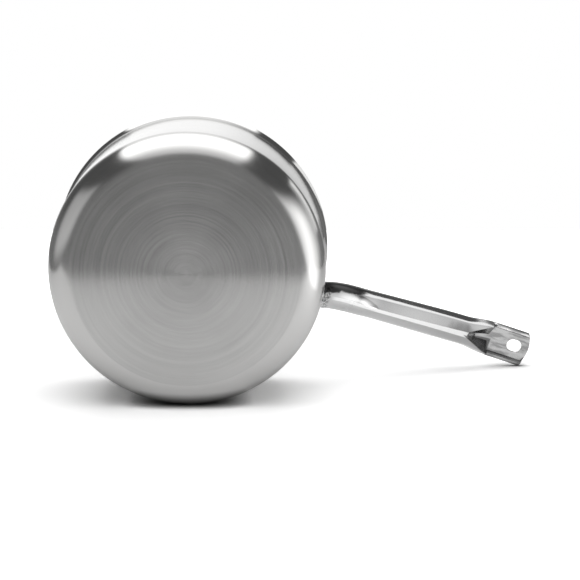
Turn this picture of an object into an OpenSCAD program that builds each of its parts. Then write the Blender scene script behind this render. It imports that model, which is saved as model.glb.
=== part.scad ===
// Saucepan: a round pan of three-layer clad sheet with a flared pouring lip,
// and a pressed tube handle welded to its wall.
// The pan stands on its base at z = 0, on its axis, and the handle points along +X.

/* [Pan] */
// Outer radius of the straight wall
pan_radius = 100; // [80:1:140]
// Height from the underside of the base to the top of the rim
pan_height = 100; // [90:1:160]
// Outer radius of the round shoulder between base and wall
shoulder_radius = 18; // [10:1:30]
// Radius of the outward curve of the pouring lip
lip_radius = 16; // [8:1:24]
// Angle that the lip turns outward from the wall
lip_angle = 35; // [15:1:50]

/* [Clad sheet] */
// Thickness of the magnetic steel skin outside
outer_skin_t = 0.5; // [0.3:0.1:1]
// Thickness of the aluminium core
core_t = 1.5; // [0.8:0.1:3]
// Thickness of the stainless steel skin inside
inner_skin_t = 0.5; // [0.3:0.1:1]

/* [Handle path] */
// Distance from the start of the lip's curve down to the weld above the handle
root_drop = 1.3; // [0.5:0.1:20]
// Length of the handle along its centreline
handle_length = 196; // [160:1:260]
// Slope at which the handle leaves the wall
neck_slope = 60; // [30:1:65]
// Slope of the long middle run
run_slope = 16; // [5:1:28]
// Slope at the free end
tip_slope = -1; // [-20:1:4]
// Length over which the neck curves into the run
neck_length = 37; // [20:1:45]
// Length over which the free end curves down
tip_length = 70; // [60:1:85]

/* [Handle section] */
// Width of the tube at the wall
root_width = 20.5; // [16:0.5:32]
// Width of the tube past the root, where it is narrowest
waist_width = 21; // [14:0.5:30]
// Width of the tube at the end of its run
tube_width = 23; // [15:0.2:30]
// Width of the flattened end
end_width = 27.4; // [20:0.2:36]
// Height of the crown above the tube's side edges at the root
crown_height = 4; // [3:0.1:7]
// Height of the crown above the side edges along the run
run_crown = 8; // [4:0.1:10]
// Depth of the rounded underside below the side edges at the root
root_depth = 5; // [4:0.5:12]
// Depth of the keel below the side edges along the run
keel_depth = 14; // [8:0.5:18]
// Width of the flat land along the keel, where the keel starts
keel_land = 2.6; // [1:0.2:4]
// Width of the land where it runs into the dimple
land_end = 4.6; // [2:0.2:6]
// Thickness of the tube's sheet
tube_sheet_t = 1.2; // [0.8:0.1:1.4]

/* [Handle end] */
// Length of the flattened trough at the free end
trough_length = 34; // [28:1:40]
// Height of the trough's crown above its side edges
trough_crown = 4.3; // [3:0.1:8]
// Depth of the trough's lips below its side edges
lip_depth = 3; // [1.5:0.1:6]
// Length of the pressed dimple that runs into the trough
dimple_length = 23; // [14:1:30]
// Radius of the rounded end, seen from above
end_radius = 24; // [18:1:40]
// Length of the hanging hole, along the handle
hole_length = 12; // [10.5:0.5:14]
// Width of the hanging hole, across the handle
hole_width = 10; // [6:0.5:10]
// Distance from the middle of the hanging hole to the end of the handle
hole_setback = 11.7; // [10:0.1:16]

/* [Weld] */
// Radius of the weld bead around the handle's root
bead_radius = 1.6; // [1:0.1:2.5]
// Gap between the handle's cut end and the wall, which the bead covers
weld_gap = 0.2; // [0.1:0.05:0.4]

/* [Hidden] */
$fn = 96;
// Length of a cut beyond the face that it opens
overrun = 1;

// Depths of the core's faces below the outer face of the sheet
core_depth = outer_skin_t;
inner_depth = core_depth + core_t;
// Thickness of the whole clad sheet
sheet_t = inner_depth + inner_skin_t;
// Places along the pan's profile
base_radius = pan_radius - shoulder_radius;
lip_start = pan_height - (lip_radius + sheet_t) * sin(lip_angle);
// Height at which the handle's centreline meets the wall: the crown and the bead come
// up to the clearance below the lip
root_height = lip_start - root_drop - bead_radius - crown_height / cos(neck_slope);

// Places along the handle's centreline, measured from the wall
// The root stays straight until its crown is clear of the wall
neck_straight = crown_height * tan(neck_slope) + tube_sheet_t;
neck_end = neck_straight + neck_length;
tip_start = handle_length - tip_length;
trough_start = handle_length - trough_length;
dimple_start = trough_start - dimple_length;
// The sharp crease between the tube and the trough is twice the sheet's thickness long
crease_end = trough_start + 2 * tube_sheet_t;
// The underside is round up to the end of the neck, and fully keeled from here
keel_full_share = 1.35;
keel_full = neck_end * keel_full_share;
// The tube's bore ends halfway along the dimple, where it is nearly pressed shut
bore_end_share = 0.5;
bore_end = dimple_start + dimple_length * bore_end_share;

// Powers of the section's curves: 2 is round, 1 is straight and a high one is square
round_power = 2;
crown_power = 4;
fold_power = 6;
// Along the run a steep side comes down from each side edge and meets a straight flank
// at a rounded corner. These are shares of the section's depth and half its width.
side_steepness = 2.49;
flank_top = 1.122;
flank_fall = 0.7;
corner_power = 8;
// The floor reaches this share of the way to the ridges beside it: the dimple is
// a valley, and the trough is flat between its lips
dimple_foot_share = 0.25;
trough_foot_share = 0.85;
// The bore's keel is this share as wide as the land outside
bore_land_share = 0.4;

// Steps along each stretch of the handle, and points round its section
neck_steps = 8;
run_steps = 7;
dimple_steps = 5;
crease_steps = 2;
trough_steps = 6;
flank_steps = 8;
floor_steps = 4;
// The crown has a point above each one of the underside
crown_steps = 2 * flank_steps + floor_steps + 2;
bead_steps = 4;

function clamp_share(share) = max(0, min(1, share));
function ease(share) = let (s = clamp_share(share)) s * s * (3 - 2 * s);
function mix(from, to, share) = from + (to - from) * share;
function share_of(place, from, to) = (place - from) / (to - from);

// End of a circular arc that leaves a point at one slope and arrives at another
function arc_move(from, slope_a, slope_b, length) =
    slope_a == slope_b
    ? from + length * [cos(slope_a), sin(slope_a)]
    : let (radius = length * 180 / (PI * (slope_b - slope_a)))
      from + radius * [sin(slope_b) - sin(slope_a), cos(slope_a) - cos(slope_b)];

// The centreline: a straight root, the neck's curve, a straight run and the end's curve
root_point = [pan_radius, root_height];
neck_point = arc_move(root_point, neck_slope, neck_slope, neck_straight);
run_point = arc_move(neck_point, neck_slope, run_slope, neck_length);
tip_point = arc_move(run_point, run_slope, run_slope, tip_start - neck_end);
function slope_at(place) =
    place < tip_start
    ? mix(neck_slope, run_slope, clamp_share(share_of(place, neck_straight, neck_end)))
    : mix(run_slope, tip_slope, share_of(place, tip_start, handle_length));
function centre_at(place) =
    let (slope = slope_at(place))
    place < neck_straight ? arc_move(root_point, neck_slope, slope, place)
    : place < neck_end ? arc_move(neck_point, neck_slope, slope, place - neck_straight)
    : place < tip_start ? arc_move(run_point, run_slope, slope, place - neck_end)
    : arc_move(tip_point, run_slope, slope, place - tip_start);

// Sizes of the section at a place along the handle
function half_width(place) =
    (place < neck_end ? mix(root_width, waist_width, ease(share_of(place, 0, neck_end)))
    : place < dimple_start
    ? mix(waist_width, tube_width, ease(share_of(place, neck_end, dimple_start)))
    : mix(tube_width, end_width, ease(share_of(place, dimple_start, trough_start)))) / 2;
function crown_at(place) =
    place < neck_end
    ? mix(crown_height, run_crown, ease(share_of(place, 0, neck_end)))
    : mix(run_crown, trough_crown, ease(share_of(place, dimple_start - dimple_length, trough_start)));
function depth_at(place) = mix(root_depth, keel_depth, ease(share_of(place, 0, keel_full)));
function keel_share(place) = ease(share_of(place, neck_end, keel_full));
function pressed_share(place) = clamp_share(share_of(place, dimple_start, trough_start));
function creased_share(place) = clamp_share(share_of(place, trough_start, crease_end));
// The two ridges part at the keel and end up as the trough's lips, two sheets thick
function land_at(place) =
    let (widened = pow(clamp_share(share_of(place, keel_full, dimple_start)), 2))
    mix(mix(keel_land, land_end, widened) / 2, end_width / 2 - 2 * tube_sheet_t, pressed_share(place));
function foot_at(place) =
    land_at(place) * mix(dimple_foot_share, trough_foot_share, creased_share(place));

// Share of its height that a curve of a given power keeps at a distance from its middle
function curve_share(across, half, power) =
    pow(max(0, 1 - pow(clamp_share(abs(across) / half), power)), 1 / power);
function flank_share(across, half) =
    let (
        reach = clamp_share(abs(across) / half),
        side = max(side_steepness * (1 - reach), 0.001),
        flank = flank_top * (1 - flank_fall * reach)
    )
    pow(pow(side, -corner_power) + pow(flank, -corner_power), -1 / corner_power);
function keel_curve(place, across, half) =
    mix(curve_share(across, half, round_power), flank_share(across, half), keel_share(place));

// Depth of the underside at a distance from the middle: two sheets under the crown
function folded_down(across, half, crown) =
    2 * tube_sheet_t * curve_share(across, half, fold_power)
    - crown * curve_share(across, half, crown_power);

// Distances across the underside from one edge to the other, without the edges
function under_places(half, land, foot) = [
    for (i = [1 : flank_steps]) -mix(land, half, cos(90 * i / flank_steps)),
    for (i = [0 : floor_steps]) foot * (2 * i / floor_steps - 1),
    for (i = [flank_steps : -1 : 1]) mix(land, half, cos(90 * i / flank_steps))
];
function crown_places(half) = [for (i = [0 : crown_steps]) half * cos(180 * i / crown_steps)];

// Outline of the tube's outside at a place, as pairs of across and up
function outside_outline(place) =
    let (
        half = half_width(place),
        depth = depth_at(place),
        crown = crown_at(place),
        land = land_at(place),
        ridge_down = depth * keel_curve(place, land, half)
    )
    [
        for (across = crown_places(half))
            [across, crown * curve_share(across, half, crown_power)],
        for (across = under_places(half, land, foot_at(place)))
            abs(across) < land
            ? [across, -mix(ridge_down, folded_down(across, half, crown), pressed_share(place))]
            : [across, -mix(
                depth * keel_curve(place, across, half),
                lip_depth * curve_share(across, half, fold_power),
                creased_share(place)
              )]
    ];

// Outline of the tube's bore at a place, one sheet inside
function bore_outline(place) =
    let (
        half_out = half_width(place),
        depth_out = depth_at(place),
        crown_out = crown_at(place),
        land_out = land_at(place),
        // The straight flank lies this far from the section's middle
        flank_reach = flank_top * depth_out / norm([1, flank_top * flank_fall * depth_out / half_out]),
        shrink = 1 - tube_sheet_t / flank_reach,
        half = half_out * shrink,
        depth = depth_out * shrink,
        crown = crown_out - tube_sheet_t,
        land = bore_land_share * keel_land / 2,
        ridge_down = depth_out * keel_curve(place, land_out, half_out),
        floor_out = mix(ridge_down, folded_down(0, half_out, crown_out), pressed_share(place)),
        floor_down = max(floor_out - tube_sheet_t, tube_sheet_t / 2)
    )
    [
        for (across = crown_places(half))
            [across, crown * curve_share(across, half, crown_power)],
        for (across = under_places(half, land, land * trough_foot_share))
            [across, -min(depth * keel_curve(place, across, half), floor_down)]
    ];

// Places an outline's points in the section plane at a place along the handle
function ring_at(place, outline) =
    let (centre = centre_at(place), slope = slope_at(place))
    [for (p = outline) [centre.x - p.y * sin(slope), p.x, centre.y + p.y * cos(slope)]];

// Runs the root's outline straight to a cylinder about the pan's axis
function point_on_wall(p, radius) =
    let (
        reach = sqrt(radius * radius - p.x * p.x),
        along = (reach - pan_radius + p.y * sin(neck_slope)) / cos(neck_slope)
    )
    [reach, p.x, root_height + along * sin(neck_slope) + p.y * cos(neck_slope)];
function ring_on_wall(outline, radius) = [for (p = outline) point_on_wall(p, radius)];

// Evenly spaced places from one to another, without the last
function steps_to(from, to, count) = [for (i = [0 : count - 1]) mix(from, to, i / count)];
tube_places = [
    each steps_to(neck_straight, neck_end, neck_steps),
    each steps_to(neck_end, dimple_start, run_steps)
];
outside_places = [
    each tube_places,
    each steps_to(dimple_start, trough_start, dimple_steps),
    each steps_to(trough_start, crease_end, crease_steps),
    each steps_to(crease_end, handle_length, trough_steps),
    handle_length
];
bore_places = [
    each tube_places,
    each steps_to(dimple_start, bore_end, dimple_steps),
    bore_end
];

// Two triangles between each pair of neighbouring points on two rings of a list
function band(ring_a, ring_b, count) = [
    for (i = [0 : count - 1])
        let (
            a = ring_a * count + i,
            b = ring_b * count + i,
            a_next = ring_a * count + (i + 1) % count,
            b_next = ring_b * count + (i + 1) % count
        )
        each [[a, b, a_next], [a_next, b, b_next]]
];
function bands(rings, first, last, count) = [for (r = [first : last - 1]) each band(r, r + 1, count)];

// Triangles across a ring, between its crown and the underside's points below
function cap(ring, count) = [
    for (i = [0 : count / 2 - 1])
        let (
            crown = ring * count + i,
            under = ring * count + (count - i) % count,
            under_next = ring * count + count - i - 1
        )
        each [
            if (under != crown) [crown, crown + 1, under],
            if (under_next != crown + 1) [crown + 1, under_next, under]
        ]
];
function turned_over(faces) = [for (face = faces) [face[2], face[1], face[0]]];

// Profile of the clad sheet between two depths below its outer face
module sheet_profile(near, far) {
    translate([0, near])
        square([base_radius, far - near]);
    translate([base_radius, shoulder_radius])
        intersection() {
            difference() {
                circle(shoulder_radius - near);
                circle(shoulder_radius - far);
            }
            translate([0, -shoulder_radius])
                square(shoulder_radius);
        }
    translate([pan_radius - far, shoulder_radius])
        square([far - near, lip_start - shoulder_radius]);
    translate([pan_radius + lip_radius, lip_start])
        intersection() {
            difference() {
                circle(lip_radius + far);
                circle(lip_radius + near);
            }
            polygon(2 * lip_radius * [[0, 0], [-1, 0], [-1, tan(lip_angle)]]);
        }
}

module outer_skin() {
    color("silver")
        rotate_extrude()
            sheet_profile(0, core_depth);
}

module aluminium_core() {
    color("lightgray")
        rotate_extrude()
            sheet_profile(core_depth, inner_depth);
}

module inner_skin() {
    color("gainsboro")
        rotate_extrude()
            sheet_profile(inner_depth, sheet_t);
}

// The pressed tube: its outside rings, then its bore's rings back from the root.
// The two rings on the wall are joined, which leaves the tube open there.
module pressed_tube() {
    wall_radius = pan_radius + weld_gap;
    outside_rings = [
        ring_on_wall(outside_outline(0), wall_radius),
        for (place = outside_places) ring_at(place, outside_outline(place))
    ];
    bore_rings = [
        ring_on_wall(bore_outline(0), wall_radius),
        for (place = bore_places) ring_at(place, bore_outline(place))
    ];
    rings = [each outside_rings, each bore_rings];
    count = len(rings[0]);
    bore_first = len(outside_rings);
    bore_last = len(rings) - 1;
    faces = [
        each bands(rings, 0, bore_first - 1, count),
        each turned_over(cap(bore_first - 1, count)),
        each turned_over(bands(rings, bore_first, bore_last, count)),
        each cap(bore_last, count),
        each band(bore_first, 0, count)
    ];
    polyhedron([for (ring = rings) each ring], faces);
}

// Moves cuts to the free end, with the handle's end at zero along X
module at_handle_end() {
    end = centre_at(handle_length);
    translate([end.x, 0, end.y])
        rotate([0, -tip_slope, 0])
            children();
}

module hanging_hole() {
    between = hole_length - hole_width;
    linear_extrude(2 * (trough_crown + overrun), center = true)
        translate([-hole_setback, 0]) {
            for (side = [-1, 1])
                translate([side * between / 2, 0])
                    circle(d = hole_width);
            square([between, hole_width], center = true);
        }
}

// What the rounded end leaves of a square one
module end_corners() {
    depth = 2 * (trough_crown + overrun);
    width = end_width + 2 * overrun;
    difference() {
        translate([-end_radius, -width / 2, -depth / 2])
            cube([end_radius + overrun, width, depth]);
        translate([-end_radius, 0, 0])
            cylinder(r = end_radius, h = depth + overrun, center = true);
    }
}

module handle() {
    color("lightsteelblue")
        difference() {
            pressed_tube();
            at_handle_end() {
                hanging_hole();
                end_corners();
            }
        }
}

// The bead's section at each point of the root's outline: a corner where the tube meets
// the wall, and a rounded face from a point up the tube to a point along the wall
function bead_rings() =
    let (
        outline = outside_outline(0),
        count = len(outline),
        seam = ring_on_wall(outline, pan_radius),
        up_tube = [cos(neck_slope), 0, sin(neck_slope)]
    )
    [
        for (i = [0 : count - 1])
            let (
                ahead = seam[(i + 1) % count] - seam[(i + count - 1) % count],
                outward = [seam[i].x, seam[i].y, 0] / pan_radius,
                aside = cross(ahead, outward) / norm(cross(ahead, outward))
            )
            [
                seam[i],
                for (k = [0 : bead_steps])
                    let (turn = 90 * k / bead_steps)
                    seam[i] + bead_radius * (cos(turn) * up_tube + sin(turn) * aside)
            ]
    ];

module handle_weld() {
    rings = bead_rings();
    count = len(rings[0]);
    faces = [
        each bands(rings, 0, len(rings) - 1, count),
        each band(len(rings) - 1, 0, count)
    ];
    color("dimgray")
        polyhedron([for (ring = rings) each ring], faces);
}

outer_skin();
aluminium_core();
inner_skin();
handle();
handle_weld();
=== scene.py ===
import math

import bmesh
import bpy
from mathutils import Matrix, Vector, noise


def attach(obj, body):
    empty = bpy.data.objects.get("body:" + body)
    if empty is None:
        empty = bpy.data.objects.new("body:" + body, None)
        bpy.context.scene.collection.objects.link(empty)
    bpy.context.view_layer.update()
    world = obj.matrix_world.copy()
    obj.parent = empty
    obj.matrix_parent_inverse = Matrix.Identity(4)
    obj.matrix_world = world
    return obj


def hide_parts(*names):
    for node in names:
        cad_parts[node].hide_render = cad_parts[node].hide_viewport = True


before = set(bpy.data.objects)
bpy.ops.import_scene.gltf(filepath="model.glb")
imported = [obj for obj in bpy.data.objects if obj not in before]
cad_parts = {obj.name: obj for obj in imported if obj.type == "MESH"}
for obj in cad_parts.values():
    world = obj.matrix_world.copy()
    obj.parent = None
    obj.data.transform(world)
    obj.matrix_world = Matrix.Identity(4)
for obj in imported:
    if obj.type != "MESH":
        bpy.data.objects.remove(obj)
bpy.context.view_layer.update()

print("frame loaded, with the nodes", sorted(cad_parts))

# All lengths are in metres, in the pan's own frame: it stands on z = 0 and its handle
# points along +X. In the picture it lies on its side, so the floor is beside it.


def mix(start, end, share):
    return start + (end - start) * share


def clampShare(share):
    return max(0.0, min(1.0, share))


def ease(share):
    s = clampShare(share)
    return s * s * (3 - 2 * s)


def shareOf(place, start, end):
    return (place - start) / (end - start)


# Camera and the way the pan lies

cameraPlace = dict(
    pitch=12.7,        # degrees that the camera looks down along the pan's axis
    yaw=-0.1,          # degrees that it looks past the axis
    handleRoll=19.3,   # degrees that the handle points down from level
    focalPixels=1850,
    imagePixels=580,
    sensor=36,         # mm
    axisRight=-0.0741,   # where the axis is at the shoulder's height, seen from the camera
    axisDown=-0.0148,
    axisAway=1.3324,
    axisPoint=0.018,
    clipNear=0.05,
    clipFar=50,
)


# Right, down and away of the camera, in the pan's frame
def cameraAxes(place):
    p, y, r = (math.radians(place[k]) for k in ("pitch", "yaw", "handleRoll"))
    axis = Vector((math.sin(y), -math.sin(p) * math.cos(y), math.cos(p) * math.cos(y)))
    across = axis.cross(Vector((0, -math.cos(p), -math.sin(p)))).normalized()
    down = across.cross(axis)
    panX = across * math.cos(r) - down * math.sin(r)
    panY = -across * math.sin(r) - down * math.cos(r)
    return [Vector((panX[i], panY[i], axis[i])) for i in range(3)]


def makeCamera(place):
    right, down, away = cameraAxes(place)
    data = bpy.data.cameras.new("camera")
    data.sensor_width = place["sensor"]
    data.lens = place["focalPixels"] * place["sensor"] / place["imagePixels"]
    data.clip_start, data.clip_end = place["clipNear"], place["clipFar"]
    camera = bpy.data.objects.new("camera", data)
    bpy.context.scene.collection.objects.link(camera)
    turn = Matrix((right, -down, -away)).transposed()
    spot = Vector((0, 0, place["axisPoint"])) - (
        right * place["axisRight"] + down * place["axisDown"] + away * place["axisAway"])
    camera.matrix_world = Matrix.Translation(spot) @ turn.to_4x4()
    bpy.context.scene.camera = camera


makeCamera(cameraPlace)
bpy.context.scene.view_settings.view_transform = "Standard"
print("camera placed")


# Node helpers

# A node with its settings, and with each input linked or set
def addNode(tree, kind, inputs=None, **settings):
    made = tree.nodes.new(kind)
    for name, value in settings.items():
        setattr(made, name, value)
    for name, value in (inputs or {}).items():
        if isinstance(value, bpy.types.NodeSocket):
            tree.links.new(value, made.inputs[name])
        else:
            made.inputs[name].default_value = value
    return made


# The result of one operation on sockets and numbers
def calc(tree, operation, *values):
    inputs = dict(enumerate(values))
    return addNode(tree, "ShaderNodeMath", inputs, operation=operation).outputs[0]


# A value moved from one span to another, and held within it
def remap(tree, value, fromLow, fromHigh, toLow, toHigh, smooth=False):
    made = addNode(tree, "ShaderNodeMapRange", {
        "Value": value, "From Min": fromLow, "From Max": fromHigh,
        "To Min": toLow, "To Max": toHigh})
    made.interpolation_type = "SMOOTHSTEP" if smooth else "LINEAR"
    return made.outputs["Result"]


# A node group and its sockets; an input whose value is None is a vector
def newGroup(name, inputs, outputs):
    group = bpy.data.node_groups.new(name, "ShaderNodeTree")
    for label, value in inputs.items():
        socket = group.interface.new_socket(
            label, in_out="INPUT",
            socket_type="NodeSocketVector" if value is None else "NodeSocketFloat")
        if value is not None:
            socket.default_value = value
    for label in outputs:
        group.interface.new_socket(label, in_out="OUTPUT", socket_type="NodeSocketFloat")
    given = group.nodes.new("NodeGroupInput").outputs
    wanted = group.nodes.new("NodeGroupOutput").inputs
    return group, given, wanted


def groupNode(tree, group, **values):
    return addNode(tree, "ShaderNodeGroup", values, node_tree=group).outputs


# 1 between two edges, and 0 outside, with soft edges
def makeWindowGroup():
    group, given, wanted = newGroup(
        "softWindow", {"Value": 0.0, "Low": 0.0, "High": 1.0, "Softness": 0.1}, ["Mask"])
    rise = remap(group, given["Value"],
                 calc(group, "SUBTRACT", given["Low"], given["Softness"]),
                 calc(group, "ADD", given["Low"], given["Softness"]), 0.0, 1.0, True)
    fall = remap(group, given["Value"],
                 calc(group, "SUBTRACT", given["High"], given["Softness"]),
                 calc(group, "ADD", given["High"], given["Softness"]), 1.0, 0.0, True)
    group.links.new(calc(group, "MULTIPLY", rise, fall), wanted["Mask"])
    return group


windowGroup = makeWindowGroup()


def window(tree, value, low, high, softness):
    return groupNode(tree, windowGroup, Value=value, Low=low, High=high,
                     Softness=softness)["Mask"]


# A mix of two sockets, by the share of the first
def blend(tree, first, second, share):
    return calc(tree, "ADD", calc(tree, "MULTIPLY", first, share),
                calc(tree, "MULTIPLY", second, 1 - share))


def noiseAt(tree, place, fineness, detail, roughness=0.5):
    return addNode(tree, "ShaderNodeTexNoise", {
        "Vector": place, "Scale": fineness, "Detail": detail,
        "Roughness": roughness}).outputs["Fac"]


# Pan

pan = dict(
    radius=0.100,
    height=0.100,
    shoulder=0.018,
    lipRadius=0.016,
    lipAngle=35,
    outerSkin=0.0005,
    core=0.0015,
    innerSkin=0.0005,
    rimRounding=0.00012,
    rimSegments=2,
    rimSharp=60,         # degrees; sharper edges at the rim are rounded
    steps=288,           # round the pan
    arcSteps=22,         # along the shoulder and the lip
    wallSteps=4,
    baseRings=8,
)
pan["sheet"] = pan["outerSkin"] + pan["core"] + pan["innerSkin"]
pan["baseRadius"] = pan["radius"] - pan["shoulder"]
pan["lipStart"] = pan["height"] - (pan["lipRadius"] + pan["sheet"]) * math.sin(
    math.radians(pan["lipAngle"]))

# Vertices that lie closer than this are one
mergeReach = 1e-7


# Studio: the floor that the pan lies on, and soft boxes round it

studio = dict(
    floorFront=0.37,     # from the base towards the camera
    floorBack=0.85,
    floorLeft=0.60,
    floorRight=0.66,
    floorColour=0.87,
    floorSeen=1.31,      # the same floor as the camera sees it, so that it goes to white
    farSeen=0.5,         # added to that where the floor is far from the pan
    farStart=0.33,
    farEnd=0.50,
    contactShadeReach=0.011,  # how far from the pan the painted contact shade reaches on the floor
    contactShadePower=0.8,
    contactSamples=8,
    darkHigh=0.10,       # brightness of the room between the lights, where 1 is white
    darkLow=0.22,
    darkSpan=(-0.05, 0.35),   # from low to high, as the share of a direction that goes up
)

# What metal sees of the room's two end walls: their brightness, how far across they reach
# and how softly they end there, and where they fade in, as the shares of a direction that
# go to the right and away
walls = dict(
    behind=dict(level=0.24, across=(-0.30, 0.30), soft=0.10, away=(-0.6, -0.9)),
    backdrop=dict(level=0.30, across=(-0.40, 0.20), soft=0.08, away=(0.6, 0.8)),
)

# Each light: its middle (right, away and up of the pan, in metres), the ways of its length
# and of its back, its length and width, and the brightness at places along its length.
# soft is how far in from its long edges the middle of their fade lies, as a share of its
# width, and lowEdge is that place for the first edge where it is another. cut, lean and
# cutSoft give a light an end that slants: its place at the first edge, how much further it
# lies at the other, and how softly it fades, as shares of the length.
lights = dict(
    overhead=dict(middle=(-0.045, -0.4, 0.95), along="away", back="up", size=(3.2, 1.23),
                  levels=[(0.0, 0.45), (0.09, 0.55), (0.24, 0.65), (0.35, 0.96), (0.45, 1.35),
                          (0.53, 2.1), (0.78, 2.1), (0.9, 0.9), (1.0, 0.8)], soft=0.04),
    backdrop=dict(middle=(-0.19, 1.2, 0.475), along="up", back="away", size=(0.95, 1.60),
                  levels=[(0.0, 0.95), (0.3, 0.95), (0.5, 0.90), (1.0, 0.75)], soft=0.2),
    rightBox=dict(middle=(0.33, -0.32, 0.155), along="away", back="right", size=(0.96, 0.32),
                  levels=[(0.0, 0.45), (0.125, 0.7), (0.22, 0.75), (0.31, 0.95), (0.41, 1.2),
                          (0.5, 1.4), (0.594, 1.65), (0.69, 1.65), (0.76, 1.25), (0.85, 0.65),
                          (0.93, 0.38), (1.0, 0.3)],
                  soft=0.2, lowEdge=-0.2, cut=0.82, lean=0.25, cutSoft=0.07),
    handleStrip=dict(middle=(0.329, 0.225, 0.245), along="away", back="right",
                     size=(0.33, 0.20),
                     levels=[(0.0, 0.35), (0.22, 0.45), (0.32, 1.2), (1.0, 1.2)],
                     soft=0.05, cut=0.359, lean=0.678, cutSoft=0.02),
    leftBox=dict(middle=(-0.60, -0.40, 0.245), along="away", back="left", size=(0.94, 0.49),
                 levels=[(0.0, 0.3), (0.15, 0.48), (0.85, 0.48), (1.0, 0.2)], soft=0.12),
)


# Right, away and up of the room, in the pan's frame
def studioAxes():
    roll = math.radians(cameraPlace["handleRoll"])
    turn = math.radians(pan["lipAngle"])
    flare = pan["lipRadius"] * (1 - math.cos(turn))
    lipPlace = pan["lipStart"] + pan["lipRadius"] * math.sin(turn)
    tilt = flare / (lipPlace - pan["shoulder"])
    up = Vector((-math.sin(roll), -math.cos(roll), tilt)).normalized()
    right = cameraAxes(cameraPlace)[0]
    right = (right - up * right.dot(up)).normalized()
    return right, up.cross(right), up


roomRight, roomAway, roomUp = studioAxes()


# A place in the room, from the point of the floor below the middle of the pan's base
def roomPoint(right, away, up):
    roll = math.radians(cameraPlace["handleRoll"])
    # where the pan touches the floor
    touch = Vector((math.sin(roll), math.cos(roll), 0)) * pan["radius"]
    touch.z = pan["shoulder"]
    return roomRight * right + roomAway * away + roomUp * (up + touch.dot(roomUp))


# White paper with painted shade close to the pan, and that is clear from below
def floorMaterial():
    material = bpy.data.materials.new("paperFloor")
    material.use_nodes = True
    tree = material.node_tree
    tree.nodes.clear()
    seen = addNode(tree, "ShaderNodeLightPath").outputs["Is Camera Ray"]
    place = addNode(tree, "ShaderNodeTexCoord").outputs["Object"]
    far = addNode(tree, "ShaderNodeVectorMath", {0: place}, operation="LENGTH").outputs["Value"]
    far = remap(tree, far, studio["farStart"], studio["farEnd"], 0.0, studio["farSeen"], True)
    colour = remap(tree, seen, 0.0, 1.0, studio["floorColour"],
                   calc(tree, "ADD", far, studio["floorSeen"]))
    # painted contact shade: the floor's colour darkens where ambient occlusion finds the pan
    # close by
    near = addNode(tree, "ShaderNodeAmbientOcclusion", {"Distance": studio["contactShadeReach"]},
                   samples=studio["contactSamples"])
    colour = calc(tree, "MULTIPLY", colour,
                  calc(tree, "POWER", near.outputs["AO"], studio["contactShadePower"]))
    matt = addNode(tree, "ShaderNodeBsdfDiffuse", {"Color": colour})
    clear = addNode(tree, "ShaderNodeBsdfTransparent")
    below = addNode(tree, "ShaderNodeNewGeometry").outputs["Backfacing"]
    mixed = addNode(tree, "ShaderNodeMixShader", {"Fac": below})
    tree.links.new(matt.outputs[0], mixed.inputs[1])
    tree.links.new(clear.outputs[0], mixed.inputs[2])
    out = addNode(tree, "ShaderNodeOutputMaterial")
    tree.links.new(mixed.outputs[0], out.inputs["Surface"])
    return material


def makeFloor():
    mesh = bpy.data.meshes.new("floor")
    bm = bmesh.new()
    bmesh.ops.create_grid(bm, x_segments=1, y_segments=1, size=0.5)     # 1 wide and deep
    wide = studio["floorLeft"] + studio["floorRight"]
    deep = studio["floorFront"] + studio["floorBack"]
    bmesh.ops.scale(bm, verts=bm.verts, vec=(wide, deep, 1))
    middle = roomPoint((studio["floorRight"] - studio["floorLeft"]) / 2,
                       (studio["floorBack"] - studio["floorFront"]) / 2, 0)
    turn = Matrix((roomRight, roomAway, roomUp)).transposed()
    bmesh.ops.transform(bm, matrix=Matrix.Translation(middle) @ turn.to_4x4(), verts=bm.verts)
    bm.to_mesh(mesh)
    bm.free()
    floor = bpy.data.objects.new("floor", mesh)
    bpy.context.scene.collection.objects.link(floor)
    mesh.materials.append(floorMaterial())


# A level that changes with value, through pairs of place and level
def stepped(tree, value, pairs):
    ramp = addNode(tree, "ShaderNodeValToRGB", {"Fac": value})
    stops = ramp.color_ramp.elements
    while len(stops) < len(pairs):
        stops.new(0.5)      # it gets its place below
    for stop, (spot, level) in zip(stops, pairs):
        stop.position = spot
        stop.color = (level, level, level, 1)
    return ramp.outputs["Color"]


# A soft box whose brightness changes along its length and fades at its long edges
def makeLight(name, light):
    ways = dict(away=roomAway, up=roomUp, right=roomRight, left=-roomRight)
    along, back = ways[light["along"]], ways[light["back"]]
    long, wide = light["size"]
    data = bpy.data.lights.new(name, "AREA")
    data.shape, data.size, data.size_y = "RECTANGLE", long, wide
    data.energy = math.pi * long * wide     # so that a strength of 1 is a brightness of 1
    data.use_nodes = True
    tree = data.node_tree
    tree.nodes.clear()
    place = addNode(tree, "ShaderNodeNewGeometry").outputs["Parametric"]
    place = addNode(tree, "ShaderNodeSeparateXYZ", {"Vector": place}).outputs
    fade = window(tree, place["Y"], light.get("lowEdge", light["soft"]), 1 - light["soft"],
                  light["soft"])
    if "cut" in light:      # a slanting end
        slant = calc(tree, "MULTIPLY_ADD", place["Y"], -light["lean"], place["X"])
        end, soft = light["cut"], light["cutSoft"]
        fade = calc(tree, "MULTIPLY", fade,
                    remap(tree, slant, end - soft, end + soft, 1.0, 0.0, True))
    shine = addNode(tree, "ShaderNodeEmission", {
        "Color": stepped(tree, place["X"], light["levels"]), "Strength": fade})
    out = addNode(tree, "ShaderNodeOutputLight")
    tree.links.new(shine.outputs[0], out.inputs["Surface"])
    lamp = bpy.data.objects.new(name, data)
    bpy.context.scene.collection.objects.link(lamp)
    turn = Matrix((along, back.cross(along), back)).transposed()
    lamp.matrix_world = Matrix.Translation(roomPoint(*light["middle"])) @ turn.to_4x4()


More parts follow.
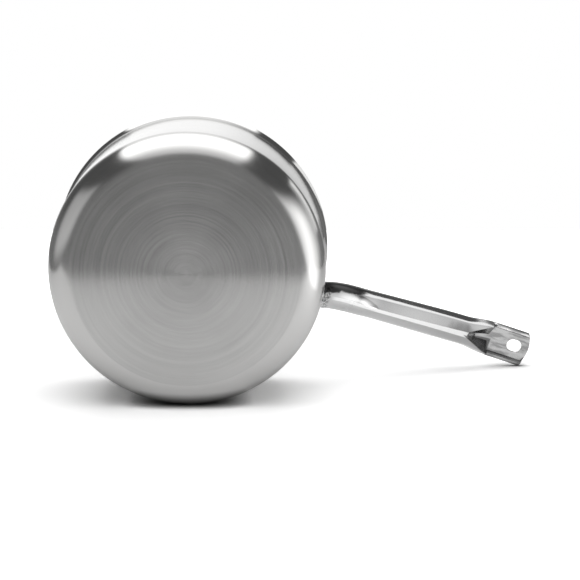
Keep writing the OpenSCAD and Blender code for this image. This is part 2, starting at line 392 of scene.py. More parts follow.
# The dark room between the lights, and plain white where the camera looks
def makeWorld():
    world = bpy.data.worlds.new("studio")
    bpy.context.scene.world = world
    world.use_nodes = True
    tree = world.node_tree
    tree.nodes.clear()
    look = addNode(tree, "ShaderNodeTexCoord").outputs["Generated"]
    right, away, up = (
        addNode(tree, "ShaderNodeVectorMath", {0: look, 1: axis},
                operation="DOT_PRODUCT").outputs["Value"]
        for axis in (roomRight, roomAway, roomUp))
    level = remap(tree, up, *studio["darkSpan"], studio["darkLow"], studio["darkHigh"], True)
    for wall in walls.values():
        shine = calc(tree, "MULTIPLY", window(tree, right, *wall["across"], wall["soft"]),
                     remap(tree, away, *wall["away"], 0.0, 1.0, True))
        level = calc(tree, "MAXIMUM", level, calc(tree, "MULTIPLY", shine, wall["level"]))
    seen = addNode(tree, "ShaderNodeLightPath").outputs["Is Camera Ray"]
    level = calc(tree, "ADD", calc(tree, "MULTIPLY", level, calc(tree, "SUBTRACT", 1.0, seen)),
                 seen)
    shade = addNode(tree, "ShaderNodeBackground", {"Color": (1, 1, 1, 1), "Strength": level})
    out = addNode(tree, "ShaderNodeOutputWorld")
    tree.links.new(shade.outputs[0], out.inputs["Surface"])


makeFloor()
makeWorld()
for lightName, light in lights.items():
    makeLight(lightName, light)
print("floor and lights made")


# Shared effects

# Most of a noise's values lie between these
noiseSpan = (0.3, 0.7)

# broadFineness and broadDrift multiply the fineness and the drift of the fine lines
ringNoise = dict(roughness=0.6, lineDetail=4.0, broadDetail=2.0, broadFineness=0.12,
                 broadDrift=1.5)
smudgeNoise = dict(detail=3.0, roughness=0.55)


# Fine and broad lines round the pan's axis, as a lathe and a polishing mop leave them
def makeRingGroup():
    group, given, wanted = newGroup(
        "lathedRings", {"Place": None, "Fineness": 900.0, "Drift": 1.5}, ["Lines", "Broad"])
    parts = addNode(group, "ShaderNodeSeparateXYZ", {"Vector": given["Place"]}).outputs
    flat = addNode(group, "ShaderNodeCombineXYZ", {"X": parts["X"], "Y": parts["Y"]}).outputs[0]
    reach = addNode(group, "ShaderNodeVectorMath", {0: flat}, operation="LENGTH")
    turn = addNode(group, "ShaderNodeVectorMath", {0: flat}, operation="NORMALIZE")
    along = calc(group, "ADD", reach.outputs["Value"], parts["Z"])

    # noise that changes fast along the sheet and slowly round the axis
    def rings(fineness, drift, detail):
        swept = addNode(group, "ShaderNodeVectorMath",
                        {0: turn.outputs["Vector"], "Scale": drift}, operation="SCALE")
        lift = addNode(group, "ShaderNodeCombineXYZ",
                       {"Z": calc(group, "MULTIPLY", along, fineness)})
        spot = addNode(group, "ShaderNodeVectorMath",
                       {0: swept.outputs[0], 1: lift.outputs[0]}, operation="ADD")
        return noiseAt(group, spot.outputs[0], 1.0, detail, ringNoise["roughness"])

    group.links.new(rings(given["Fineness"], given["Drift"], ringNoise["lineDetail"]),
                    wanted["Lines"])
    group.links.new(rings(calc(group, "MULTIPLY", given["Fineness"], ringNoise["broadFineness"]),
                          calc(group, "MULTIPLY", given["Drift"], ringNoise["broadDrift"]),
                          ringNoise["broadDetail"]), wanted["Broad"])
    return group


# Smudges from handling, on any piece
def makeWearGroup():
    group, given, wanted = newGroup("handling", {"Place": None, "Fineness": 25.0}, ["Smudge"])
    group.links.new(noiseAt(group, given["Place"], given["Fineness"], smudgeNoise["detail"],
                            smudgeNoise["roughness"]), wanted["Smudge"])
    return group


ringGroup = makeRingGroup()
wearGroup = makeWearGroup()


# A colour from low to high grey as value goes from 0 to 1
def grey(tree, value, low, high, tint=(1.0, 1.0, 1.0)):
    made = tree.nodes.new("ShaderNodeMix")
    made.data_type = "RGBA"
    tree.links.new(value, made.inputs[0])
    made.inputs[6].default_value = (low * tint[0], low * tint[1], low * tint[2], 1)
    made.inputs[7].default_value = (high * tint[0], high * tint[1], high * tint[2], 1)
    return made.outputs[2]


# A metal, with its nodes, its shader and the place on the piece. Its gloss is stretched.
def startMaterial(name, stretch=0.0):
    material = bpy.data.materials.new(name)
    material.use_nodes = True
    tree = material.node_tree
    tree.nodes.clear()
    shader = addNode(tree, "ShaderNodeBsdfPrincipled",
                     {"Metallic": 1.0, "Anisotropic": stretch})
    out = addNode(tree, "ShaderNodeOutputMaterial")
    tree.links.new(shader.outputs[0], out.inputs["Surface"])
    place = addNode(tree, "ShaderNodeTexCoord").outputs["Object"]
    return material, tree, shader, place


def bumpInto(tree, shader, height, strength, distance):
    made = addNode(tree, "ShaderNodeBump", {
        "Height": height, "Strength": strength, "Distance": distance})
    tree.links.new(made.outputs["Normal"], shader.inputs["Normal"])


# Steel of the pan

baseFinish = dict(low=0.46, high=0.60, roughLow=0.16, roughHigh=0.22, stretch=0.95,
                  fineness=2200, drift=0.4, bump=0.06)
shoulderFinish = dict(low=0.56, high=0.60, roughLow=0.16, roughHigh=0.22, stretch=0.8,
                      fineness=2600, drift=0.4, bump=0.03)
wallFinish = dict(low=0.57, high=0.61, roughLow=0.10, roughHigh=0.15, stretch=0.5,
                  fineness=2600, drift=0.4, bump=0.03)
insideFinish = dict(low=0.55, high=0.66, roughLow=0.22, roughHigh=0.34, stretch=0.7,
                    fineness=1800, drift=0.6, bump=0.08)
coreFinish = dict(low=0.66, high=0.86, roughLow=0.3, roughHigh=0.45, stretch=0.2,
                  fineness=2600, drift=1.5, bump=0.2)
ringLook = dict(
    tint=(1.0, 0.995, 0.985),
    lineTone=0.65,        # the fine lines' share of the tone; the broad ones have the rest
    lineRough=0.6,        # and of the roughness, where smudges have the rest
    depth=0.00005,
)


def ringedSteel(name, finish):
    material, tree, shader, place = startMaterial(name, finish["stretch"])
    rings = groupNode(tree, ringGroup, Place=place, Fineness=finish["fineness"],
                      Drift=finish["drift"])
    smudge = groupNode(tree, wearGroup, Place=place)["Smudge"]
    tone = remap(tree, blend(tree, rings["Lines"], rings["Broad"], ringLook["lineTone"]),
                 *noiseSpan, 0.0, 1.0)
    tree.links.new(grey(tree, tone, finish["low"], finish["high"], ringLook["tint"]),
                   shader.inputs["Base Color"])
    rough = remap(tree, blend(tree, rings["Lines"], smudge, ringLook["lineRough"]),
                  *noiseSpan, finish["roughLow"], finish["roughHigh"])
    tree.links.new(rough, shader.inputs["Roughness"])
    # the lines run round the axis, so the gloss spreads across them
    around = addNode(tree, "ShaderNodeVectorMath", {0: (0, 0, 1), 1: place},
                     operation="CROSS_PRODUCT")
    across = addNode(tree, "ShaderNodeVectorMath", {
        0: around.outputs[0], 1: addNode(tree, "ShaderNodeNewGeometry").outputs["Normal"]},
        operation="CROSS_PRODUCT")
    tree.links.new(across.outputs[0], shader.inputs["Tangent"])
    bumpInto(tree, shader, rings["Lines"], finish["bump"], ringLook["depth"])
    return material


def plainAluminium(name, finish):
    material, tree, shader, place = startMaterial(name, finish["stretch"])
    lines = groupNode(tree, ringGroup, Place=place, Fineness=finish["fineness"],
                      Drift=finish["drift"])["Lines"]
    tree.links.new(grey(tree, lines, finish["low"], finish["high"]),
                   shader.inputs["Base Color"])
    tree.links.new(remap(tree, lines, *noiseSpan, finish["roughLow"], finish["roughHigh"]),
                   shader.inputs["Roughness"])
    bumpInto(tree, shader, lines, finish["bump"], ringLook["depth"])
    return material


# The sheet's layers, each spun round the axis

def arcPoints(centre, radius, start, end, steps):
    return [(centre[0] + radius * math.cos(math.radians(mix(start, end, i / steps))),
             centre[1] + radius * math.sin(math.radians(mix(start, end, i / steps))))
            for i in range(steps + 1)]


# One face of the sheet from the axis to the rim, depth below the outer face
def facePath(depth):
    shoulder = pan["shoulder"]
    path = [(pan["baseRadius"] * i / pan["baseRings"], depth) for i in range(pan["baseRings"])]
    path += arcPoints((pan["baseRadius"], shoulder), shoulder - depth, -90, 0, pan["arcSteps"])
    path += [(pan["radius"] - depth, mix(shoulder, pan["lipStart"], i / pan["wallSteps"]))
             for i in range(1, pan["wallSteps"])]
    path += arcPoints((pan["radius"] + pan["lipRadius"], pan["lipStart"]),
                      pan["lipRadius"] + depth, 180, 180 - pan["lipAngle"], pan["arcSteps"])
    return path


# Makes all faces smooth, and all edges but the sharp ones
def smoothFaces(bm, sharpAngle):
    for edge in bm.edges:
        edge.smooth = edge.calc_face_angle(0.0) < math.radians(sharpAngle)
    for face in bm.faces:
        face.smooth = True


# Rounds those edges of a bmesh that pass a test and are sharp
def roundEdges(bm, passes, sharpAngle, offset, segments, clamp=False):
    edges = [e for e in bm.edges if passes(e)
             and e.calc_face_angle(0.0) > math.radians(sharpAngle)]
    bmesh.ops.bevel(bm, geom=edges, offset=offset, affect="EDGES", segments=segments,
                    profile=0.5, clamp_overlap=clamp, material=-1)


# Turns a bmesh into a piece at the origin
def finishMesh(name, bm, materials, sharpAngle=35):
    smoothFaces(bm, sharpAngle)
    mesh = bpy.data.meshes.new(name)
    bm.to_mesh(mesh)
    bm.free()
    for material in materials:
        mesh.materials.append(material)
    piece = bpy.data.objects.new(name, mesh)
    bpy.context.scene.collection.objects.link(piece)
    return piece


def makeLayer(name, node, near, far, materials):
    outside, inside = facePath(near), facePath(far)
    bm = bmesh.new()
    verts = [bm.verts.new((r, 0, z)) for r, z in outside + inside[::-1]]
    edges = [bm.edges.new(pair) for pair in zip(verts[:-1], verts[1:])]
    bmesh.ops.spin(bm, geom=verts + edges, cent=(0, 0, 0), axis=(0, 0, 1), angle=2 * math.pi,
                   steps=pan["steps"], use_merge=True, use_duplicate=False)
    bmesh.ops.remove_doubles(bm, verts=bm.verts, dist=mergeReach)
    bmesh.ops.recalc_face_normals(bm, faces=bm.faces)
    top = pan["height"] - pan["sheet"]
    roundEdges(bm, lambda e: min(v.co.z for v in e.verts) > top, pan["rimSharp"],
               pan["rimRounding"], pan["rimSegments"])
    if len(materials) > 1:      # base, shoulder and wall
        for face in bm.faces:
            height = face.calc_center_median().z
            face.material_index = (0 if height < mergeReach
                                   else 1 if height < pan["shoulder"] else 2)
    piece = finishMesh(name, bm, materials)
    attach(piece, "root")
    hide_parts(node)


def makePan():
    base, wall = ringedSteel("brushedBase", baseFinish), ringedSteel("satinWall", wallFinish)
    shoulder = ringedSteel("satinShoulder", shoulderFinish)
    inside = ringedSteel("satinInside", insideFinish)
    coreStart = pan["outerSkin"]
    coreEnd = coreStart + pan["core"]
    makeLayer("outerSkin", "outer_skin", 0.0, coreStart,
              [base, shoulder, wall])
    makeLayer("sheetCore", "aluminium_core", coreStart, coreEnd,
              [plainAluminium("cutAluminium", coreFinish)])
    makeLayer("innerSkin", "inner_skin", coreEnd, pan["sheet"], [inside])


makePan()
print("pan made")


# Handle

handle = dict(
    rootDrop=0.0013,      # from the start of the lip's curve down to the weld
    length=0.1959,        # a hair less than the solid, to stay inside it
    neckSlope=60,         # degrees above level, when the pan stands on its base
    runSlope=16,
    tipSlope=-1,
    neckLength=0.037,
    tipLength=0.070,
    rootWidth=0.0205,
    waistWidth=0.021,
    tubeWidth=0.023,
    endWidth=0.0274,
    crown=0.004,          # at the root
    runCrown=0.008,
    rootDepth=0.005,
    keelDepth=0.014,
    keelLand=0.0026,      # where the keel starts
    landEnd=0.0046,       # where it runs into the dimple
    landPower=2,          # how late it widens between them
    sheet=0.0012,
    troughLength=0.034,
    troughCrown=0.0043,
    lipDepth=0.003,
    dimpleLength=0.023,
    endRadius=0.024,
    endRounding=0.0005,
    holeLength=0.012,
    holeWidth=0.010,
    holeSetback=0.0117,
    holeRounding=0.00035,
    holeSteps=96,
    holeReach=0.6,        # its edges lie within this share of its length from its middle
    roundingSegments=3,
    sharpAngle=50,        # degrees; sharper edges of the end and the hole are rounded
    smoothAngle=40,       # and edges less sharp than this are shaded smooth
    beadRadius=0.0016,
    weldGap=0.0002,
    keelFullShare=1.35,   # of the neck's end, where the keel has its full shape
    roundPower=2,         # 2 makes a section round, and higher powers make it boxier
    crownPower=4,
    foldPower=6,
    sideSteepness=2.49,   # the steep side and straight flank of the underside's section
    flankTop=1.122,
    flankFall=0.7,
    sideLeast=0.001,      # keeps the side's share above zero
    cornerPower=8,
    dimpleFootShare=0.25,   # how wide the pressed floor is, as a share of the flat
    troughFootShare=0.85,
    straightBend=1e-9,    # radians; an arc that bends less is drawn straight
    flankSteps=24,        # across the underside
    floorSteps=10,
    rootSteps=4,          # along the handle
    neckSteps=18,
    runSteps=26,
    dimpleSteps=20,
    creaseSteps=6,
    troughSteps=26,
)
h = handle


# Places along the centreline, measured from the wall, and the centreline's corners
def setHandlePlaces():
    slope = math.radians(h["neckSlope"])
    h["rootHeight"] = (pan["lipStart"] - h["rootDrop"] - h["beadRadius"]
                       - h["crown"] / math.cos(slope))
    h["neckStraight"] = h["crown"] * math.tan(slope) + h["sheet"]
    h["neckEnd"] = h["neckStraight"] + h["neckLength"]
    h["tipStart"] = h["length"] - h["tipLength"]
    h["troughStart"] = h["length"] - h["troughLength"]
    h["dimpleStart"] = h["troughStart"] - h["dimpleLength"]
    h["creaseEnd"] = h["troughStart"] + 2 * h["sheet"]
    h["keelFull"] = h["neckEnd"] * h["keelFullShare"]
    h["rootPoint"] = Vector((pan["radius"], h["rootHeight"]))
    h["neckPoint"] = arcMove(h["rootPoint"], h["neckSlope"], h["neckSlope"], h["neckStraight"])
    h["runPoint"] = arcMove(h["neckPoint"], h["neckSlope"], h["runSlope"], h["neckLength"])
    h["tipPoint"] = arcMove(h["runPoint"], h["runSlope"], h["runSlope"],
                            h["tipStart"] - h["neckEnd"])


# The end of an arc that leaves a point at one slope and arrives at another
def arcMove(start, slopeA, slopeB, length):
    a, b = math.radians(slopeA), math.radians(slopeB)
    if abs(b - a) < h["straightBend"]:
        return start + length * Vector((math.cos(a), math.sin(a)))
    radius = length / (b - a)
    return start + radius * Vector((math.sin(b) - math.sin(a), math.cos(a) - math.cos(b)))


def slopeAt(place):
    if place < h["tipStart"]:
        return mix(h["neckSlope"], h["runSlope"],
                   clampShare(shareOf(place, h["neckStraight"], h["neckEnd"])))
    return mix(h["runSlope"], h["tipSlope"], shareOf(place, h["tipStart"], h["length"]))


# The centreline's point at a place, as x and height
def centreAt(place):
    slope = slopeAt(place)
    if place < h["neckStraight"]:
        return arcMove(h["rootPoint"], h["neckSlope"], slope, place)
    if place < h["neckEnd"]:
        return arcMove(h["neckPoint"], h["neckSlope"], slope, place - h["neckStraight"])
    if place < h["tipStart"]:
        return arcMove(h["runPoint"], h["runSlope"], slope, place - h["neckEnd"])
    return arcMove(h["tipPoint"], h["runSlope"], slope, place - h["tipStart"])


def halfWidth(place):
    if place < h["neckEnd"]:
        width = mix(h["rootWidth"], h["waistWidth"], ease(shareOf(place, 0, h["neckEnd"])))
    elif place < h["dimpleStart"]:
        width = mix(h["waistWidth"], h["tubeWidth"],
                    ease(shareOf(place, h["neckEnd"], h["dimpleStart"])))
    else:
        width = mix(h["tubeWidth"], h["endWidth"],
                    ease(shareOf(place, h["dimpleStart"], h["troughStart"])))
    return width / 2


def crownAt(place):
    if place < h["neckEnd"]:
        return mix(h["crown"], h["runCrown"], ease(shareOf(place, 0, h["neckEnd"])))
    lowering = shareOf(place, h["dimpleStart"] - h["dimpleLength"], h["troughStart"])
    return mix(h["runCrown"], h["troughCrown"], ease(lowering))


def depthAt(place):
    return mix(h["rootDepth"], h["keelDepth"], ease(shareOf(place, 0, h["keelFull"])))


# How far the underside is pressed up towards the crown, and then folded to a trough
def pressedShare(place):
    return clampShare(shareOf(place, h["dimpleStart"], h["troughStart"]))


def creasedShare(place):
    return clampShare(shareOf(place, h["troughStart"], h["creaseEnd"]))


# Half the width of the flat under the keel, which the dimple widens
def landAt(place):
    widened = clampShare(shareOf(place, h["keelFull"], h["dimpleStart"])) ** h["landPower"]
    return mix(mix(h["keelLand"], h["landEnd"], widened) / 2,
               h["endWidth"] / 2 - 2 * h["sheet"], pressedShare(place))


def curveShare(across, half, power):
    return max(0.0, 1 - clampShare(abs(across) / half) ** power) ** (1 / power)


# A steep side and a straight flank that meet at a rounded corner
def flankShare(across, half):
    reach = clampShare(abs(across) / half)
    side = max(h["sideSteepness"] * (1 - reach), h["sideLeast"])
    flank = h["flankTop"] * (1 - h["flankFall"] * reach)
    power = h["cornerPower"]
    return (side ** -power + flank ** -power) ** (-1 / power)


# The underside's section, round at the neck and a keel from there on
def keelCurve(place, across, half):
    keel = ease(shareOf(place, h["neckEnd"], h["keelFull"]))
    return mix(curveShare(across, half, h["roundPower"]), flankShare(across, half), keel)


def foldedDown(across, half, crown):
    return (2 * h["sheet"] * curveShare(across, half, h["foldPower"])
            - crown * curveShare(across, half, h["crownPower"]))


# The tube's outside in its own section, as pairs of across and up
def outline(place):
    half, depth, crown, land = halfWidth(place), depthAt(place), crownAt(place), landAt(place)
    foot = land * mix(h["dimpleFootShare"], h["troughFootShare"], creasedShare(place))
    flank, floorSteps = h["flankSteps"], h["floorSteps"]
    crownSteps = 2 * flank + floorSteps + 2
    ridgeDown = depth * keelCurve(place, land, half)
    points = []
    for i in range(crownSteps + 1):
        across = half * math.cos(math.pi * i / crownSteps)
        points.append((across, crown * curveShare(across, half, h["crownPower"])))
    under = [-mix(land, half, math.cos(math.pi / 2 * i / flank)) for i in range(1, flank + 1)]
    under += [foot * (2 * i / floorSteps - 1) for i in range(floorSteps + 1)]
    under += [mix(land, half, math.cos(math.pi / 2 * i / flank)) for i in range(flank, 0, -1)]
    for across in under:
        if abs(across) < land:
            down = mix(ridgeDown, foldedDown(across, half, crown), pressedShare(place))
        else:
            down = mix(depth * keelCurve(place, across, half),
                       h["lipDepth"] * curveShare(across, half, h["foldPower"]),
                       creasedShare(place))
        points.append((across, -down))
    return points


def sectionPoint(place, across, up):
    centre, slope = centreAt(place), math.radians(slopeAt(place))
    return Vector((centre.x - up * math.sin(slope), across, centre.y + up * math.cos(slope)))


# The root's outline runs straight on to a cylinder about the pan's axis
def pointOnWall(across, up, radius):
    slope = math.radians(h["neckSlope"])
    reach = math.sqrt(radius * radius - across * across)
    along = (reach - pan["radius"] + up * math.sin(slope)) / math.cos(slope)
    return Vector((reach, across,
                   h["rootHeight"] + along * math.sin(slope) + up * math.cos(slope)))


# How far the rounded end draws a point back along the handle
def endSetback(place, across):
    room = h["holeSetback"] - h["holeLength"] / 2
    bend = h["endRadius"] - math.sqrt(h["endRadius"] ** 2 - across * across)
    return bend * ease(shareOf(place, h["length"] - 2 * room, h["length"]))


def handleRings():
    first = [pointOnWall(a, u, pan["radius"] + h["weldGap"]) for a, u in outline(0)]
    neck = [sectionPoint(h["neckStraight"], a, u) for a, u in outline(h["neckStraight"])]
    rings = [[p.lerp(q, i / h["rootSteps"]) for p, q in zip(first, neck)]
             for i in range(h["rootSteps"])]
    stops = [(h["neckStraight"], h["neckEnd"], h["neckSteps"]),
             (h["neckEnd"], h["dimpleStart"], h["runSteps"]),
             (h["dimpleStart"], h["troughStart"], h["dimpleSteps"]),
             (h["troughStart"], h["creaseEnd"], h["creaseSteps"]),
             (h["creaseEnd"], h["length"], h["troughSteps"])]
    places = [mix(start, end, i / steps) for start, end, steps in stops for i in range(steps)]
    for place in places + [h["length"]]:
        rings.append([sectionPoint(place - endSetback(place, a), a, u)
                      for a, u in outline(place)])
    return rings


def startRing(bm, points):
    verts = [bm.verts.new(p) for p in points]
    for i, vert in enumerate(verts):
        bm.edges.new((vert, verts[(i + 1) % len(verts)]))
    return verts


# Draws a closed ring of vertices out to the points of the next section
def extrudeRing(bm, ring, points):
    edges = [bm.edges.get((v, ring[(i + 1) % len(ring)])) for i, v in enumerate(ring)]
    made = bmesh.ops.extrude_edge_only(bm, edges=edges)["geom"]
    fresh = {g for g in made if isinstance(g, bmesh.types.BMVert)}
    following = [next(e.other_vert(v) for e in v.link_edges if e.other_vert(v) in fresh)
                 for v in ring]
    for vert, point in zip(following, points):
        vert.co = point
    return following


# Closes a section with strips between its crown and the underside
def capRing(bm, ring):
    count = len(ring)
    for i in range(count // 2):
        under, after = ring[(count - i) % count], ring[count - i - 1]
        corners = [ring[i], ring[i + 1], after, under]
        face = [v for k, v in enumerate(corners) if v not in corners[:k]]
        if len(face) > 2:
            bm.faces.new(face)


# A long oval block that cuts the hanging hole
def holeCutter():
    bm = bmesh.new()
    bmesh.ops.create_circle(bm, cap_ends=True, segments=h["holeSteps"],
                            radius=h["holeWidth"] / 2)
    between = h["holeLength"] - h["holeWidth"]
    for vert in bm.verts:
        if abs(vert.co.x) > mergeReach:
            vert.co.x += math.copysign(between / 2, vert.co.x)
    tall = 4 * h["troughCrown"]     # well past the tube on both sides
    bmesh.ops.translate(bm, verts=bm.verts, vec=(-h["holeSetback"], 0, -tall / 2))
    made = bmesh.ops.extrude_face_region(bm, geom=bm.faces[:])["geom"]
    bmesh.ops.translate(bm, vec=(0, 0, tall),
                        verts=[g for g in made if isinstance(g, bmesh.types.BMVert)])
    end = centreAt(h["length"])
    turn = Matrix.Rotation(-math.radians(h["tipSlope"]), 4, "Y")
    bmesh.ops.transform(bm, verts=bm.verts,
                        matrix=Matrix.Translation((end.x, 0, end.y)) @ turn)
    bmesh.ops.recalc_face_normals(bm, faces=bm.faces)
    mesh = bpy.data.meshes.new("holeCutter")
    bm.to_mesh(mesh)
    bm.free()
    cutter = bpy.data.objects.new("holeCutter", mesh)
    bpy.context.scene.collection.objects.link(cutter)
    return cutter


polish = dict(
    low=0.62, high=0.68, roughLow=0.07, roughHigh=0.13,
    scratchScale=(180, 2600, 2600),      # along the handle and across it
    scratchRough=0.3,                    # their share of the roughness; smudges have the rest
    smudgeFineness=60.0,
    drawnDetail=3.0,
    waveFineness=90.0, waveDetail=2.0, waveBump=0.15, waveDepth=0.0004,
    pressedTone=0.52, pressedRough=0.12,   # at the pressed end, in smears
    pressedStart=0.6,                    # in the dimple, where 1 is its end, as for ridgeEnd
    smearScale=(70, 260, 260), smearSpan=(0.44, 0.64), smearLeast=0.15,
    ridgeHighlightTone=1.4,                       # painted highlight on the flat of the keel
    ridgeSoft=0.15, ridgeFacing=(-0.7, -0.85), ridgeEnd=0.3,
    creaseShadeTone=0.35, creaseReach=0.008,  # painted shade in the folds of one side, where ambient occlusion finds them
    creaseSpan=(0.3, 0.9), creaseSide=-0.004,
    dimpleShadeTone=0.30,                      # painted shade in one side of the dimple
    dimpleShadeStart=0.004, dimpleShadeEdge=0.003, dimpleShadeWidening=0.5,
    dimpleShadeMiddle=0.001, dimpleShadeSoft=0.0008, dimpleShadeEnds=0.0006,
    neckShadeTone=0.12,                       # painted shade on one side of the neck beside the weld
    neckShadeSide=-0.0055, neckShadeLean=-0.15, neckShadeFull=0.018, neckShadeEnd=0.045,
    neckShadeFade=0.014, neckShadeWander=0.0015, neckShadeEdge=(-0.0004, 0.0006),
    spatterTone=0.05, spatterEnd=0.0125,   # burnt specks round the weld
    spatterFineness=650.0, spatterDetail=1.0, spatterSpan=(0.50, 0.54),
    neckRough=0.22, neckEnd=0.040,       # the neck is ground, not polished
    fadeStart=0.6,                       # of specks and neck, as a share of their reach
)


# Noise that is drawn out along the handle
def drawnNoise(tree, place, scale):
    drawn = addNode(tree, "ShaderNodeMapping", {"Vector": place, "Scale": scale})
    return noiseAt(tree, drawn.outputs[0], 1.0, polish["drawnDetail"])


# 1 near the wall and 0 beyond a reach. This and the next three give a look its places.
def nearWall(tree, parts, reach):
    wall = calc(tree, "SUBTRACT", parts["X"], pan["radius"])
    return remap(tree, wall, polish["fadeStart"] * reach, reach, 1.0, 0.0, True)


# The flat of the keel, up to the dimple, where a highlight is painted
def ridgeHighlightShare(tree, parts, start, end):
    normal = addNode(tree, "ShaderNodeNewGeometry").outputs["Normal"]
    facing = addNode(tree, "ShaderNodeSeparateXYZ", {"Vector": normal}).outputs["Z"]
    land = remap(tree, parts["X"], centreAt(h["keelFull"]).x, start,
                 h["keelLand"] / 2, h["landEnd"] / 2)
    across = calc(tree, "DIVIDE", calc(tree, "ABSOLUTE", parts["Y"]), land)
    soft = polish["ridgeSoft"]
    ridge = calc(tree, "MULTIPLY", remap(tree, across, 1 - soft, 1 + soft, 1.0, 0.0, True),
                 remap(tree, facing, *polish["ridgeFacing"], 0.0, 1.0, True))
    fade = remap(tree, parts["X"], start, mix(start, end, polish["ridgeEnd"]), 1.0, 0.0, True)
    return calc(tree, "MULTIPLY", ridge, fade)


# One side of the neck, as far as an edge that leans and wavers, where shade is painted
def neckShadeShare(tree, parts, smudge):
    beyond = calc(tree, "SUBTRACT", parts["X"], pan["radius"] + polish["neckShadeFull"])
    limit = calc(tree, "MULTIPLY_ADD", beyond, polish["neckShadeLean"], polish["neckShadeSide"])
    wander = remap(tree, smudge, *noiseSpan, -polish["neckShadeWander"], polish["neckShadeWander"])
    side = calc(tree, "ADD", calc(tree, "SUBTRACT", limit, parts["Y"]), wander)
    end = polish["neckShadeEnd"] - polish["neckShadeFull"]
    return calc(tree, "MULTIPLY", remap(tree, side, *polish["neckShadeEdge"], 0.0, 1.0, True),
                remap(tree, beyond, end - polish["neckShadeFade"], end, 1.0, 0.0, True))


# One half of the dimple, as a strip that widens towards the handle's end, where shade is painted
def dimpleShadeShare(tree, parts, start, end):
    shallow = calc(tree, "SUBTRACT", parts["X"],
                   centreAt(h["dimpleStart"] + polish["dimpleShadeStart"]).x)
    brink = calc(tree, "MULTIPLY_ADD", shallow, polish["dimpleShadeWidening"], polish["dimpleShadeEdge"])
    inside = calc(tree, "SUBTRACT", brink, parts["Y"])
    strip = calc(tree, "MULTIPLY",
                 remap(tree, parts["Y"], 0.0, polish["dimpleShadeMiddle"], 0.0, 1.0, True),
                 remap(tree, inside, 0.0, polish["dimpleShadeSoft"], 0.0, 1.0, True))
    return calc(tree, "MULTIPLY", strip,
                window(tree, parts["X"], start, end, polish["dimpleShadeEnds"]))


def polishedSteel():
    material, tree, shader, place = startMaterial("polishedHandle")
    parts = addNode(tree, "ShaderNodeSeparateXYZ", {"Vector": place}).outputs
    start, end = (centreAt(h[k]).x for k in ("dimpleStart", "creaseEnd"))
    smudge = groupNode(tree, wearGroup, Place=place,
                       Fineness=polish["smudgeFineness"])["Smudge"]
    scratches = drawnNoise(tree, place, polish["scratchScale"])
    # painted shade: darker where ambient occlusion finds the folds of one side
    fold = addNode(tree, "ShaderNodeAmbientOcclusion", {"Distance": polish["creaseReach"]})
    creased = calc(tree, "MULTIPLY",
                   remap(tree, parts["Y"], polish["creaseSide"], 0.0, 0.0, 1.0, True),
                   remap(tree, fold.outputs["AO"], *polish["creaseSpan"], 1.0, 0.0))
    pressed = remap(tree, parts["X"], mix(start, end, polish["pressedStart"]), end,
                    0.0, 1.0, True)
    smears = remap(tree, drawnNoise(tree, place, polish["smearScale"]),
                   *polish["smearSpan"], polish["smearLeast"], 1.0, True)
    specks = remap(tree, noiseAt(tree, place, polish["spatterFineness"],
                                 polish["spatterDetail"]),
                   *polish["spatterSpan"], 0.0, 1.0, True)
    shares = dict(
        creaseShadeTone=creased,
        pressedTone=calc(tree, "MULTIPLY", pressed, smears),
        # painted highlight on the keel's flat
        ridgeHighlightTone=ridgeHighlightShare(tree, parts, start, end),
        # painted shade on one side of the neck
        neckShadeTone=neckShadeShare(tree, parts, smudge),
        # painted shade in one half of the dimple
        dimpleShadeTone=dimpleShadeShare(tree, parts, start, end),
        spatterTone=calc(tree, "MULTIPLY", specks,
                         nearWall(tree, parts, polish["spatterEnd"])))
    tone = 1.0
    for name, share in shares.items():
        tone = calc(tree, "MULTIPLY", tone, remap(tree, share, 0.0, 1.0, 1.0, polish[name]))
    shade = addNode(tree, "ShaderNodeVectorMath", {
        0: grey(tree, scratches, polish["low"], polish["high"]), "Scale": tone},
        operation="SCALE")
    tree.links.new(shade.outputs[0], shader.inputs["Base Color"])
    rough = remap(tree, blend(tree, scratches, smudge, polish["scratchRough"]),
                  *noiseSpan, polish["roughLow"], polish["roughHigh"])
    rough = calc(tree, "MULTIPLY_ADD", nearWall(tree, parts, polish["neckEnd"]),
                 polish["neckRough"], rough)
    rough = calc(tree, "MULTIPLY_ADD", pressed, polish["pressedRough"], rough)
    tree.links.new(rough, shader.inputs["Roughness"])
    waves = noiseAt(tree, place, polish["waveFineness"], polish["waveDetail"])
    bumpInto(tree, shader, waves, polish["waveBump"], polish["waveDepth"])
    return material


# Cuts the hanging hole through the tube, and rounds its edges
def cutHole(tube):
    cutter = holeCutter()
    cut = tube.modifiers.new("hole", "BOOLEAN")
    cut.operation, cut.object, cut.solver = "DIFFERENCE", cutter, "EXACT"
    graph = bpy.context.evaluated_depsgraph_get()
    mesh = bpy.data.meshes.new_from_object(tube.evaluated_get(graph))
    tube.modifiers.clear()
    bpy.data.objects.remove(cutter)
    bm = bmesh.new()
    bm.from_mesh(mesh)
    hole = centreAt(h["length"] - h["holeSetback"])
    reach = h["holeReach"] * h["holeLength"]
    roundEdges(bm, lambda e: all(math.hypot(v.co.x - hole.x, v.co.y) < reach
                                 for v in e.verts),
               h["sharpAngle"], h["holeRounding"], h["roundingSegments"])
    smoothFaces(bm, h["smoothAngle"])
    bm.to_mesh(mesh)
    bm.free()
    mesh.materials.clear()
    mesh.materials.append(tube.data.materials[0])
    tube.data = mesh
    mesh.name = "pressedHandle"


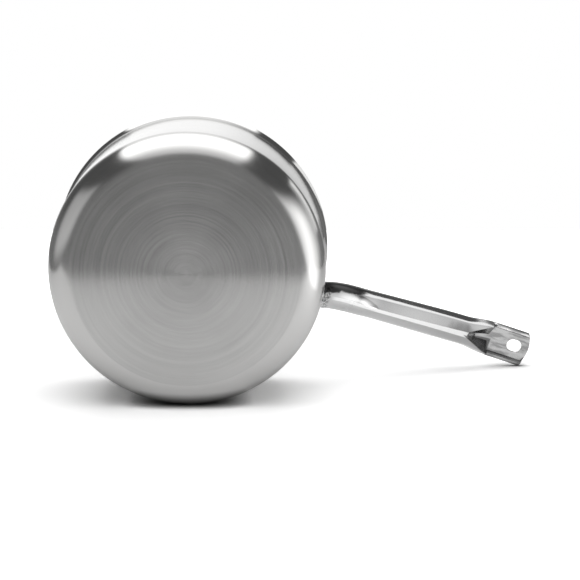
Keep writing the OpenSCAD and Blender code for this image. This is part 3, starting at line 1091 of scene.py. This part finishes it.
def makeHandle():
    rings = handleRings()
    bm = bmesh.new()
    first = startRing(bm, rings[0])
    ring = first
    for points in rings[1:]:
        ring = extrudeRing(bm, ring, points)
    capRing(bm, first)
    capRing(bm, ring)
    bmesh.ops.recalc_face_normals(bm, faces=bm.faces)
    last = set(ring)
    roundEdges(bm, lambda e: last.issuperset(e.verts), h["sharpAngle"], h["endRounding"],
               h["roundingSegments"], clamp=True)
    tube = finishMesh("pressedHandle", bm, [polishedSteel()])
    cutHole(tube)
    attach(tube, "root")
    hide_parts("handle")


# Weld bead, uneven like a hand weld

bead = dict(
    sectionSteps=8,
    lumps=0.35,           # of its radius
    lumpSize=0.0022,
    lumpTurn=1.5,         # how much the lumps change across the bead
    seed=4.0,
    sharpAngle=60,
    dark=0.02, bright=0.9, darkRough=0.5, brightRough=0.2,
    patchFineness=430.0, patchDetail=3.0, patchRoughness=0.6, patchSpan=(0.46, 0.56),
    bump=0.8, bumpDepth=0.0005,
)


def weldMaterial():
    material, tree, shader, place = startMaterial("weldMetal")
    patches = noiseAt(tree, place, bead["patchFineness"], bead["patchDetail"],
                      bead["patchRoughness"])
    tone = remap(tree, patches, *bead["patchSpan"], 0.0, 1.0, True)
    tree.links.new(grey(tree, tone, bead["dark"], bead["bright"]), shader.inputs["Base Color"])
    tree.links.new(remap(tree, patches, *noiseSpan, bead["darkRough"], bead["brightRough"]),
                   shader.inputs["Roughness"])
    bumpInto(tree, shader, patches, bead["bump"], bead["bumpDepth"])
    return material


def makeWeld():
    shape = outline(0)
    seam = [pointOnWall(a, u, pan["radius"]) for a, u in shape]
    slope = math.radians(h["neckSlope"])
    upTube = Vector((math.cos(slope), 0, math.sin(slope)))
    steps = bead["sectionSteps"]
    sections = []
    for i, spot in enumerate(seam):
        ahead = seam[(i + 1) % len(seam)] - seam[i - 1]
        outward = Vector((spot.x, spot.y, 0)) / pan["radius"]
        aside = ahead.cross(outward).normalized()
        section = [spot]
        for k in range(steps + 1):
            turn = math.pi / 2 * k / steps
            way = math.cos(turn) * upTube + math.sin(turn) * aside
            lump = noise.noise(spot / bead["lumpSize"] + way * bead["lumpTurn"]
                               + Vector((bead["seed"],) * 3))
            size = h["beadRadius"] * (1 - bead["lumps"] / 2 + bead["lumps"] * lump)
            section.append(spot + way * size)
        sections.append(section)
    bm = bmesh.new()
    ring = startRing(bm, sections[0])
    for points in sections[1:] + sections[:1]:
        ring = extrudeRing(bm, ring, points)
    bmesh.ops.remove_doubles(bm, verts=bm.verts, dist=mergeReach)
    bmesh.ops.recalc_face_normals(bm, faces=bm.faces)
    weld = finishMesh("weldBead", bm, [weldMaterial()], bead["sharpAngle"])
    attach(weld, "root")
    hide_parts("handle_weld")


setHandlePlaces()
makeHandle()
makeWeld()
print("handle and weld made")
